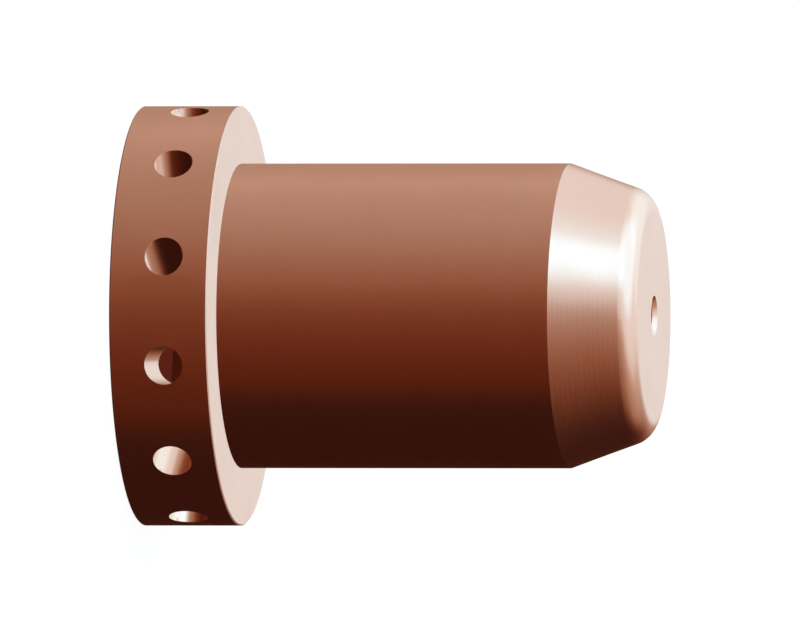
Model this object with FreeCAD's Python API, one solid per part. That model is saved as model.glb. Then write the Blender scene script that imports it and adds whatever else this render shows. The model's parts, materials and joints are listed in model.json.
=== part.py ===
# Plasma torch nozzle: one turned copper piece, standing on the back face of its flange.
# Millimetres. The turning axis is Z, the origin is the centre of the back face, and the
# nose with the arc orifice points up.
import FreeCAD, Part
import math
import os

# Flange
flange_diameter = 17.5
flange_thickness = 4.1
edge_break = 0.05

# Straight body and tapered nose
body_diameter = 12.7
body_length = 13.9
nose_length = 3.5
nose_half_angle = 20.0
nose_corner_radius = 1.1

# Swirl holes: drilled in one plane, each passing beside the turning axis
swirl_count = 12
swirl_diameter = 1.6
swirl_height = 2.25
swirl_offset = 2.05

# Back mouth: a conical seat that leads into the gallery where the swirl holes end
seat_diameter = 13.7
seat_half_angle = 45.0
gallery_diameter = 11.0
gallery_land = 0.35
shoulder_half_angle = 45.0

# Chamber round the electrode, tapering to the arc orifice
chamber_diameter = 8.6
chamber_corner_radius = 1.5
taper_half_angle = 50.0
throat_entry_radius = 0.4
throat_diameter = 1.35
throat_length = 2.6
flare_diameter = 1.68
flare_half_angle = 40.0

# Heights above the back face that follow from the sizes
body_top = flange_thickness + body_length
nose_face = body_top + nose_length


def taper_rise(start_diameter, end_diameter, half_angle):
    """Height over which a cone of this half-angle goes from one diameter to the other."""
    return abs(start_diameter - end_diameter) / 2 / math.tan(math.radians(half_angle))


def taper_run(height, half_angle):
    """Change of radius of a cone of this half-angle over a height."""
    return height * math.tan(math.radians(half_angle))


def rounded_corner(before, corner, after, radius):
    """Start, middle and end of the arc that rounds the corner of two straight runs."""
    to_before = (before - corner).normalize()
    to_after = (after - corner).normalize()
    half_angle = to_before.getAngle(to_after) / 2
    setback = radius / math.tan(half_angle)
    bisector = (to_before + to_after).normalize()
    centre = corner + bisector * (radius / math.sin(half_angle))
    start = corner + to_before * setback
    end = corner + to_after * setback
    return start, centre - bisector * radius, end


def section_face(outline):
    """Face in the XZ plane from (radius, height, corner radius) points, in order."""
    corners = [FreeCAD.Vector(radius, 0, height) for radius, height, _ in outline]
    turns = []
    for index, (_, _, corner_radius) in enumerate(outline):
        corner = corners[index]
        following = corners[(index + 1) % len(corners)]
        if corner_radius:
            turns.append(rounded_corner(corners[index - 1], corner, following, corner_radius))
        else:
            turns.append((corner, None, corner))
    edges = []
    for index, (start, middle, end) in enumerate(turns):
        edges.append(Part.makeLine(turns[index - 1][2], start))
        if middle is not None:
            edges.append(Part.Arc(start, middle, end).toShape())
    return Part.Face(Part.Wire(edges))


def outer_outline():
    """Outside of the section, from the back face up to the nose."""
    flange_radius = flange_diameter / 2
    body_radius = body_diameter / 2
    return [
        (flange_radius - edge_break, 0, 0),
        (flange_radius, edge_break, 0),
        (flange_radius, flange_thickness - edge_break, 0),
        (flange_radius - edge_break, flange_thickness, 0),
        (body_radius, flange_thickness, 0),
        (body_radius, body_top, 0),
        (body_radius - taper_run(nose_length, nose_half_angle), nose_face, nose_corner_radius),
    ]


def inner_outline():
    """Inside of the section, from the orifice down to the back mouth."""
    seat_top = taper_rise(seat_diameter, gallery_diameter, seat_half_angle)
    gallery_top = swirl_height + swirl_diameter / 2 + gallery_land
    chamber_base = gallery_top + taper_rise(gallery_diameter, chamber_diameter, shoulder_half_angle)
    flare_base = nose_face - taper_rise(flare_diameter, throat_diameter, flare_half_angle)
    throat_base = flare_base - throat_length
    chamber_top = throat_base - taper_rise(chamber_diameter, throat_diameter, taper_half_angle)
    return [
        (flare_diameter / 2, nose_face, 0),
        (throat_diameter / 2, flare_base, 0),
        (throat_diameter / 2, throat_base, throat_entry_radius),
        (chamber_diameter / 2, chamber_top, chamber_corner_radius),
        (chamber_diameter / 2, chamber_base, 0),
        (gallery_diameter / 2, gallery_top, 0),
        (gallery_diameter / 2, seat_top, 0),
        (seat_diameter / 2, 0, 0),
    ]


def turned_blank():
    """The turned piece before its swirl holes are drilled."""
    section = section_face(outer_outline() + inner_outline())
    return section.revolve(FreeCAD.Vector(0, 0, 0), FreeCAD.Vector(0, 0, 1), 360)


def swirl_hole(index):
    """Drill that enters through the flange's rim and ends in the gallery."""
    reach = flange_diameter
    start = FreeCAD.Vector(swirl_offset, -reach, swirl_height)
    drill = Part.makeCylinder(swirl_diameter / 2, reach, start, FreeCAD.Vector(0, 1, 0))
    drill.rotate(FreeCAD.Vector(0, 0, 0), FreeCAD.Vector(0, 0, 1), index * 360 / swirl_count)
    return drill


def nozzle():
    """The finished nozzle."""
    holes = [swirl_hole(index) for index in range(swirl_count)]
    return turned_blank().cut(holes)


os.makedirs("parts", exist_ok=True)
nozzle().exportStep("parts/nozzle.step")
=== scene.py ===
"""Looks of the plasma torch nozzle: fine-turned bare copper on a white floor.

Everything is in metres, in the part's own frame: it stands on its flange, with the nose up.
The picture shows it lying, so the camera is rolled a quarter turn.

Directions round the part are named by their place in the picture, as a bearing in degrees:
0 is the picture's top, 90 the camera's side, 180 the picture's bottom and 270 behind. A rise
is in degrees above level.
"""
import json
import math

import bmesh
import bpy
from mathutils import Matrix, Vector


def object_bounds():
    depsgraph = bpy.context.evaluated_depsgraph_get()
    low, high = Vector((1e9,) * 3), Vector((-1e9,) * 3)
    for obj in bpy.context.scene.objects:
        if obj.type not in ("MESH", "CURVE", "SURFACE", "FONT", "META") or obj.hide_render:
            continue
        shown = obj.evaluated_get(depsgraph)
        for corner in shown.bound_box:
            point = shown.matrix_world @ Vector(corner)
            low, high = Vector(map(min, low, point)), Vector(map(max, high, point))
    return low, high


MM = 0.001
WHITE = (1, 1, 1, 1)

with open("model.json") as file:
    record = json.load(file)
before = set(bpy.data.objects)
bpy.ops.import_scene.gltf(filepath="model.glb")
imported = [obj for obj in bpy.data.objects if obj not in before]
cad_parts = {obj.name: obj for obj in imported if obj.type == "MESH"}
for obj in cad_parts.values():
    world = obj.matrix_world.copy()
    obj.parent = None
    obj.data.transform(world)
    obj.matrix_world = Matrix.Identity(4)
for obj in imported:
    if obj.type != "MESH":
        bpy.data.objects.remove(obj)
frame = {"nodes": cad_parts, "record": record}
cad_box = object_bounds()
nozzle = frame["nodes"]["nozzle"]
mounts = {mount["name"]: mount for mount in frame["record"]["mounts"]}

# Sizes of the part that the camera and the copper need
FLANGE_FRONT = mounts["flange_front"]["pos_m"][2]
FLANGE_RADIUS = cad_box[1][0]
GALLERY_RADIUS = 5.5 * MM
FLARE_RADIUS = 0.84 * MM
SWIRL_RADIUS = 0.8 * MM
SWIRL_HEIGHT = 2.25 * MM

# Picture: how it is framed and from where it looks
PICTURE_WIDTH = 800
PICTURE_MIDDLE = 399.5
FLANGE_FRONT_COLUMN = 241.55
AXIS_ROW_SHIFT = 0.15
PIXELS_PER_MM = 23.98
CAMERA_LENS = 1300.0
SENSOR_WIDTH = 36.0
CAMERA_RISE = math.radians(9.43)

# Copper: clean metal, a little duller in clouds
COPPER = (0.95, 0.64, 0.54, 1)
COPPER_DULL = (0.91, 0.60, 0.49, 1)
CLOUDS_PER_METRE = 260.0
CLOUD_CLEAN = 0.35
CLOUD_DULL = 0.70

# Marks of the turning tool, and how upright the normal of an end face is at least
TOOL_PITCH = 0.20 * MM
TOOL_DEPTH = 0.0005 * MM
END_FACE_UPRIGHT = 0.95

# Drilled walls have no such marks. They are told by their place: clear of the bores and of the
# rim, and no higher or lower than the swirl holes, each by a margin.
BORE_MARGIN = 0.02 * MM
RIM_MARGIN = 0.03 * MM
SWIRL_MARGIN = 0.05 * MM

# Roughness: that of turned metal and how far wear and clouds change it, and that of the flange's
# broken edges. On turned metal smoother than about 0.274 the picture's denoising leaves squiggles.
TURNED_ROUGHNESS = 0.29
WEAR_ROUGHNESS = 0.02
CLOUD_ROUGHNESS = 0.025
WEAR_LENGTH = 6 * TOOL_PITCH
EDGE_ROUGHNESS = 0.60
EDGE_ZONE = 0.15 * MM
EDGE_UPRIGHT = math.sqrt(0.5)
EDGE_TOLERANCE = 0.05

# Dome
DOME_LIGHT = 1.0
DOME_COLOUR = (0.86, 0.94, 0.94, 1)

# Softboxes: name, bearing, rise, diameter, radiance, colour
SOFTBOXES = (
    ("key softbox", 41.0, 31.0, 0.175, 0.82, (0.33, 1.0, 1.36)),
    ("top softbox", 8.0, 57.0, 0.37, 0.60, (0.32, 1.0, 1.5)),
    ("side softbox", 303.0, 37.0, 0.28, 0.37, (0.38, 1.0, 1.3)),
)
SOFTBOX_DISTANCE = 0.30
SOFTBOX_AIM = 12.0 * MM

# Shades of the glowing card round the part, from the darkest brown to white: painted light and shade,
# which the metal shows as its reflection. The first is number 0.
SHADES = (
    (0.035, 0.008, 0.005),
    (0.11, 0.020, 0.006),
    (0.18, 0.038, 0.010),
    (0.25, 0.076, 0.027),
    (0.32, 0.13, 0.065),
    (0.40, 0.235, 0.155),
    (0.50, 0.34, 0.25),
    (0.79, 0.63, 0.55),
    (1.00, 1.00, 1.00),
)

# The card all round: bearing, rise of its top edge, and the numbers of its shades just below
# level, low on its wall, half way up and at its top edge
CARD = (
    (0, 0.0, 5.85, 5.4, 5.4, 5.4),
    (20, 8.0, 5.65, 4.9, 4.9, 5.6),
    (40, 12.0, 4.85, 4.9, 4.9, 5.9),
    (60, 15.0, 4.12, 4.8, 4.8, 6.2),
    (75, 26.0, 3.15, 4.8, 5.7, 6.6),
    (90, 46.0, 2.1, 4.4, 5.6, 7.0),
    (105, 54.0, 1.6, 3.5, 5.2, 6.8),
    (120, 61.0, 1.22, 2.4, 4.6, 6.7),
    (145, 64.0, 0.74, 0.8, 4.3, 6.7),
    (160, 64.0, 0.0, 0.1, 4.2, 6.7),
    (180, 63.5, 0.0, 0.0, 4.3, 6.6),
    (205, 61.0, 0.0, 0.0, 4.9, 6.4),
    (225, 59.0, 0.0, 0.0, 5.6, 6.4),
    (245, 56.0, 0.0, 0.2, 6.0, 6.4),
    (262, 44.0, 0.3, 6.1, 6.1, 6.3),
    (266, 0.0, 5.3, 5.3, 5.3, 5.3),
    (276, 0.0, 5.3, 5.3, 5.3, 5.3),
    (290, 0.0, 5.6, 5.6, 5.6, 5.6),
    (304, 0.0, 5.95, 5.8, 5.8, 5.8),
    (330, 0.0, 6.35, 5.8, 5.8, 5.8),
    (360, 0.0, 5.85, 5.4, 5.4, 5.4),
)
LOW_FROM = 6.0
LOW_TO = 20.0
HALF_WAY = 34.5
CARD_RADIUS = 1.5
CARD_COLUMNS = 144
CARD_STEPS_BETWEEN = 4

# How the card darkens further down: degrees below level, the share that is left of the number
# of its shade just below level, and the highest number
BELOW = (
    (90, 0.0, 0.0),
    (80, 0.15, 0.10),
    (60, 0.30, 0.33),
    (45, 0.45, 1.4),
    (24, 0.60, 3.2),
    (17, 0.85, 5.2),
    (12, 1.0, 8.0),
    (1, 1.0, 8.0),
)

# Floor: it glows by itself, and the light that falls on it brings it up to white, so that the
# part still casts a shadow. The floor under the part is seen through its bores.
FLOOR_RADIUS = 1.6
FLOOR_SIDES = 96
FLOOR_GLOW = 0.88
FLOOR_PAPER = (0.16, 0.16, 0.16, 1)
# The covered floor glows a dim brown: painted shade of the floor under the part, seen through its
# bores.
COVERED_RADIUS = 7.0 * MM
COVERED_LIFT = 0.01 * MM
COVERED_SHADE = (0.10, 0.015, 0.007, 1)


def toward(bearing, rise):
    """Unit vector towards a bearing and a rise."""
    around = math.radians(bearing)
    upward = math.radians(rise)
    level = math.cos(upward)
    return Vector((-math.cos(around) * level, -math.sin(around) * level, math.sin(upward)))


def between(low, high, share):
    """Row of values that lies this share of the way from one row to another."""
    return [start + (end - start) * share for start, end in zip(low, high)]


def shade(number):
    """Colour of a shade, also between two of the listed ones."""
    low = min(int(number), len(SHADES) - 2)
    return between(SHADES[low], SHADES[low + 1], number - low)


def card_at(bearing):
    """Row of the card at a bearing, on straight lines between its rows."""
    for low, high in zip(CARD, CARD[1:]):
        if low[0] <= bearing <= high[0]:
            return between(low[1:], high[1:], (bearing - low[0]) / (high[0] - low[0]))


def finer(places):
    """The same places with others between them, so that the shades follow their list."""
    for low, high in zip(places, places[1:]):
        for step in range(CARD_STEPS_BETWEEN):
            yield between(low, high, step / CARD_STEPS_BETWEEN)
    yield places[-1]


def link(obj):
    """The same object, put into the scene."""
    bpy.context.scene.collection.objects.link(obj)
    return obj


def facing(right, up, back):
    """Turn of a camera or lamp from its three directions."""
    return Matrix((right, up, back)).transposed().to_4x4()


def make_camera():
    """Long lens from the side of the first swirl hole, rolled so that the nose points right."""
    back = Vector((0, -math.cos(CAMERA_RISE), math.sin(CAMERA_RISE)))
    right = Vector((0, math.sin(CAMERA_RISE), math.cos(CAMERA_RISE)))
    up = Vector((-1, 0, 0))
    pixel = MM / PIXELS_PER_MM
    distance = PICTURE_WIDTH * pixel * CAMERA_LENS / SENSOR_WIDTH
    target = Vector((0, 0, FLANGE_FRONT))
    target += right * (PICTURE_MIDDLE - FLANGE_FRONT_COLUMN) * pixel
    target -= up * AXIS_ROW_SHIFT * pixel
    data = bpy.data.cameras.new("camera")
    data.lens = CAMERA_LENS
    data.sensor_width = SENSOR_WIDTH
    data.clip_start = distance / 10
    data.clip_end = distance * 3
    camera = link(bpy.data.objects.new("camera", data))
    camera.matrix_world = Matrix.Translation(target + back * distance) @ facing(right, up, back)
    bpy.context.scene.camera = camera


class Nodes:
    """Short way to add and join the nodes of one material or world."""

    def __init__(self, owner):
        owner.use_nodes = True
        self.tree = owner.node_tree
        self.tree.nodes.clear()

    def add(self, kind, inputs=None, **settings):
        """New node with its settings, and with its inputs set to values or joined to sockets."""
        node = self.tree.nodes.new(kind)
        for name, value in settings.items():
            setattr(node, name, value)
        for name, value in (inputs or {}).items():
            socket = node.inputs[name]
            if isinstance(value, bpy.types.NodeSocket):
                self.tree.links.new(value, socket)
            else:
                socket.default_value = value
        return node

    def math(self, operation, *values):
        """Result of a sum, product or test of the values."""
        return self.add("ShaderNodeMath", dict(enumerate(values)), operation=operation).outputs[0]

    def within(self, value, low, high):
        """1 where the value lies between low and high, and 0 elsewhere."""
        above = self.math("GREATER_THAN", value, low)
        return self.math("MULTIPLY", above, self.math("LESS_THAN", value, high))

    def upright(self, vector):
        """Share of a vector that points up the turning axis."""
        return self.add("ShaderNodeSeparateXYZ", {0: vector}).outputs["Z"]

    def from_axis(self, place):
        """Distance of a place from the turning axis."""
        flat = self.add("ShaderNodeVectorMath", {0: place, 1: (1, 1, 0)}, operation="MULTIPLY")
        length = self.add("ShaderNodeVectorMath", {0: flat.outputs[0]}, operation="LENGTH")
        return length.outputs["Value"]


def drilled_walls(nodes, height, radius):
    """1 on the walls of the swirl holes and of the orifice, and 0 elsewhere."""
    in_flange = nodes.within(radius, GALLERY_RADIUS + BORE_MARGIN, FLANGE_RADIUS - RIM_MARGIN)
    reach = SWIRL_RADIUS + SWIRL_MARGIN
    in_row = nodes.within(height, SWIRL_HEIGHT - reach, SWIRL_HEIGHT + reach)
    in_orifice = nodes.math("LESS_THAN", radius, FLARE_RADIUS + BORE_MARGIN)
    return nodes.math("MAXIMUM", nodes.math("MULTIPLY", in_flange, in_row), in_orifice)


def tool_rings(nodes, along, drilled):
    """Normal of fine turned rings, each a tool pitch from the next."""
    turn = nodes.math("MULTIPLY", along, 2 * math.pi / TOOL_PITCH)
    turned = nodes.math("SUBTRACT", 1.0, drilled)
    rings = nodes.math("MULTIPLY", nodes.math("SINE", turn), turned)
    return nodes.add("ShaderNodeBump", {
        "Height": rings,
        "Strength": 1.0,
        "Distance": TOOL_DEPTH / 2,
    }).outputs[0]


def copper_colour(nodes, cloud):
    """Clean copper that turns a little duller in clouds."""
    tint = nodes.add("ShaderNodeMapRange", {
        "Value": cloud,
        "From Min": CLOUD_CLEAN,
        "From Max": CLOUD_DULL,
    }).outputs[0]
    colours = {"Factor": tint, "A": COPPER, "B": COPPER_DULL}
    return nodes.add("ShaderNodeMix", colours, data_type="RGBA").outputs["Result"]


def copper_roughness(nodes, cloud, along, edges):
    """Roughness that wanders with the clouds and along the turned sides, and is high on edges."""
    wear = nodes.add("ShaderNodeTexNoise", {
        "W": along,
        "Scale": 1 / WEAR_LENGTH,
        "Detail": 2.0,
    }, noise_dimensions="1D").outputs["Fac"]
    wear = nodes.math("MULTIPLY", wear, WEAR_ROUGHNESS)
    worn = nodes.math("ADD", wear, nodes.math("MULTIPLY", cloud, CLOUD_ROUGHNESS))
    smoothest = TURNED_ROUGHNESS - (WEAR_ROUGHNESS + CLOUD_ROUGHNESS) / 2
    turned = nodes.math("ADD", worn, smoothest)
    rougher = nodes.math("MULTIPLY", edges, EDGE_ROUGHNESS - TURNED_ROUGHNESS)
    return nodes.math("ADD", turned, rougher)


def copper():
    """Bare copper with fine tool rings on its turned sides and ends, and plain drilled walls."""
    material = bpy.data.materials.new("turned copper")
    nodes = Nodes(material)
    place = nodes.add("ShaderNodeTexCoord").outputs["Object"]
    height = nodes.upright(place)
    radius = nodes.from_axis(place)
    normal = nodes.add("ShaderNodeNewGeometry").outputs["Normal"]
    upright = nodes.math("ABSOLUTE", nodes.upright(normal))

    is_end = nodes.math("GREATER_THAN", upright, END_FACE_UPRIGHT)
    along = nodes.add("ShaderNodeMix", {"Factor": is_end, "A": height, "B": radius}).outputs["Result"]
    edges = nodes.math("MULTIPLY",
                       nodes.math("COMPARE", upright, EDGE_UPRIGHT, EDGE_TOLERANCE),
                       nodes.math("GREATER_THAN", radius, FLANGE_RADIUS - EDGE_ZONE))
    cloud = nodes.add("ShaderNodeTexNoise", {
        "Vector": place,
        "Scale": CLOUDS_PER_METRE,
        "Detail": 3.0,
        "Roughness": 0.55,
    }).outputs["Fac"]

    shader = nodes.add("ShaderNodeBsdfPrincipled", {
        "Base Color": copper_colour(nodes, cloud),
        "Metallic": 1.0,
        "Roughness": copper_roughness(nodes, cloud, along, edges),
        "Normal": tool_rings(nodes, along, drilled_walls(nodes, height, radius)),
    })
    nodes.add("ShaderNodeOutputMaterial", {"Surface": shader.outputs[0]})
    return material


def glowing(name, colour=None, attribute=None):
    """Material that shows one colour, or the colours that a mesh carries under a name."""
    material = bpy.data.materials.new(name)
    nodes = Nodes(material)
    if attribute:
        colour = nodes.add("ShaderNodeAttribute", attribute_name=attribute).outputs["Color"]
    glow = nodes.add("ShaderNodeEmission", {"Color": colour, "Strength": 1.0})
    nodes.add("ShaderNodeOutputMaterial", {"Surface": glow.outputs[0]})
    return material


def white_floor():
    """Paper that shows white to the camera, in metal and through glass, and keeps a shadow."""
    material = bpy.data.materials.new("white floor")
    nodes = Nodes(material)
    rays = nodes.add("ShaderNodeLightPath").outputs
    seen = nodes.math("MAXIMUM", rays["Is Camera Ray"], rays["Is Glossy Ray"])
    seen = nodes.math("MAXIMUM", seen, rays["Is Transmission Ray"])
    strength = nodes.math("MULTIPLY", seen, FLOOR_GLOW)
    glow = nodes.add("ShaderNodeEmission", {"Color": WHITE, "Strength": strength})
    paper = nodes.add("ShaderNodeBsdfDiffuse", {"Color": FLOOR_PAPER})
    both = nodes.add("ShaderNodeAddShader", {0: glow.outputs[0], 1: paper.outputs[0]})
    nodes.add("ShaderNodeOutputMaterial", {"Surface": both.outputs[0]})
    return material


def stage_piece(name, bm, material):
    """Object of the studio, which isn't part of the nozzle."""
    mesh = bpy.data.meshes.new(name)
    bm.to_mesh(mesh)
    bm.free()
    mesh.materials.append(material)
    piece = link(bpy.data.objects.new(name, mesh))
    return piece


def make_disc(name, radius, height, material):
    """Round piece of the floor, left out of what the metal sees: it sees the card there."""
    bm = bmesh.new()
    middle = Vector((0, 0, height))
    bearings = [-side * 360 / FLOOR_SIDES for side in range(FLOOR_SIDES)]
    bm.faces.new([bm.verts.new(middle + toward(bearing, 0) * radius) for bearing in bearings])
    disc = stage_piece(name, bm, material)
    disc.visible_glossy = False


def card_column(bearing):
    """Rises and shade numbers of the card at a bearing, from straight below up to its edge."""
    edge, below, low, half_way, top = card_at(bearing)
    places = [(-dip, min(below * share, most)) for dip, share, most in BELOW]
    places += [
        (min(edge, LOW_FROM), low),
        (min(edge, LOW_TO), low),
        (min(edge, HALF_WAY), half_way),
        (edge, top),
    ]
    return finer(places)


def make_card():
    """Graded glowing card all round and under the part, open above, which is seen only in the metal:
    a painted reflection of light and shade.
    """
    bm = bmesh.new()
    layer = bm.verts.layers.float_color.new("shade")
    columns = []
    for step in range(CARD_COLUMNS):
        bearing = step * 360 / CARD_COLUMNS
        column = []
        for rise, number in card_column(bearing):
            vert = bm.verts.new(toward(bearing, rise) * CARD_RADIUS)
            vert[layer] = (*shade(number), 1)
            column.append(vert)
        columns.append(column)
    for here, following in zip(columns, columns[1:] + columns[:1]):
        for low in range(len(here) - 1):
            bm.faces.new((here[low], here[low + 1], following[low + 1], following[low]))
    card = stage_piece("painted reflection card", bm, glowing("painted reflection card", attribute="shade"))
    card.visible_camera = False
    card.visible_diffuse = False
    card.visible_shadow = False


def softbox(name, bearing, rise, diameter, radiance, colour):
    """Round soft lamp that looks at the middle of the part."""
    data = bpy.data.lights.new(name, "AREA")
    data.shape = "DISK"
    data.size = diameter
    data.color = colour
    area = math.pi * (diameter / 2) ** 2
    data.energy = radiance * math.pi * area
    lamp = link(bpy.data.objects.new(name, data))
    back = toward(bearing, rise)
    right = Vector((0, 0, 1)).cross(back).normalized()
    middle = Vector((0, 0, SOFTBOX_AIM)) + back * SOFTBOX_DISTANCE
    lamp.matrix_world = Matrix.Translation(middle) @ facing(right, back.cross(right), back)
    lamp.visible_camera = False


def make_world():
    """Dome that shows white to the camera and a cooler white in the metal."""
    world = bpy.data.worlds.new("white studio")
    bpy.context.scene.world = world
    nodes = Nodes(world)
    seen = nodes.add("ShaderNodeLightPath").outputs["Is Camera Ray"]
    colours = {"Factor": seen, "A": DOME_COLOUR, "B": WHITE}
    colour = nodes.add("ShaderNodeMix", colours, data_type="RGBA").outputs["Result"]
    sky = nodes.add("ShaderNodeBackground", {"Color": colour, "Strength": DOME_LIGHT})
    nodes.add("ShaderNodeOutputWorld", {"Surface": sky.outputs[0]})


make_camera()
make_world()
make_disc("floor", FLOOR_RADIUS, 0, white_floor())
# Glowing brown disc under the part: painted shade, seen through the bores.
make_disc("painted shade floor", COVERED_RADIUS, COVERED_LIFT, glowing("painted shade floor", COVERED_SHADE))
make_card()
for box in SOFTBOXES:
    softbox(*box)

# The metal doesn't mirror the part itself, because in the picture it doesn't either
nozzle.data.materials.clear()
nozzle.data.materials.append(copper())
nozzle.visible_glossy = False

bpy.context.scene.view_settings.view_transform = "Standard"
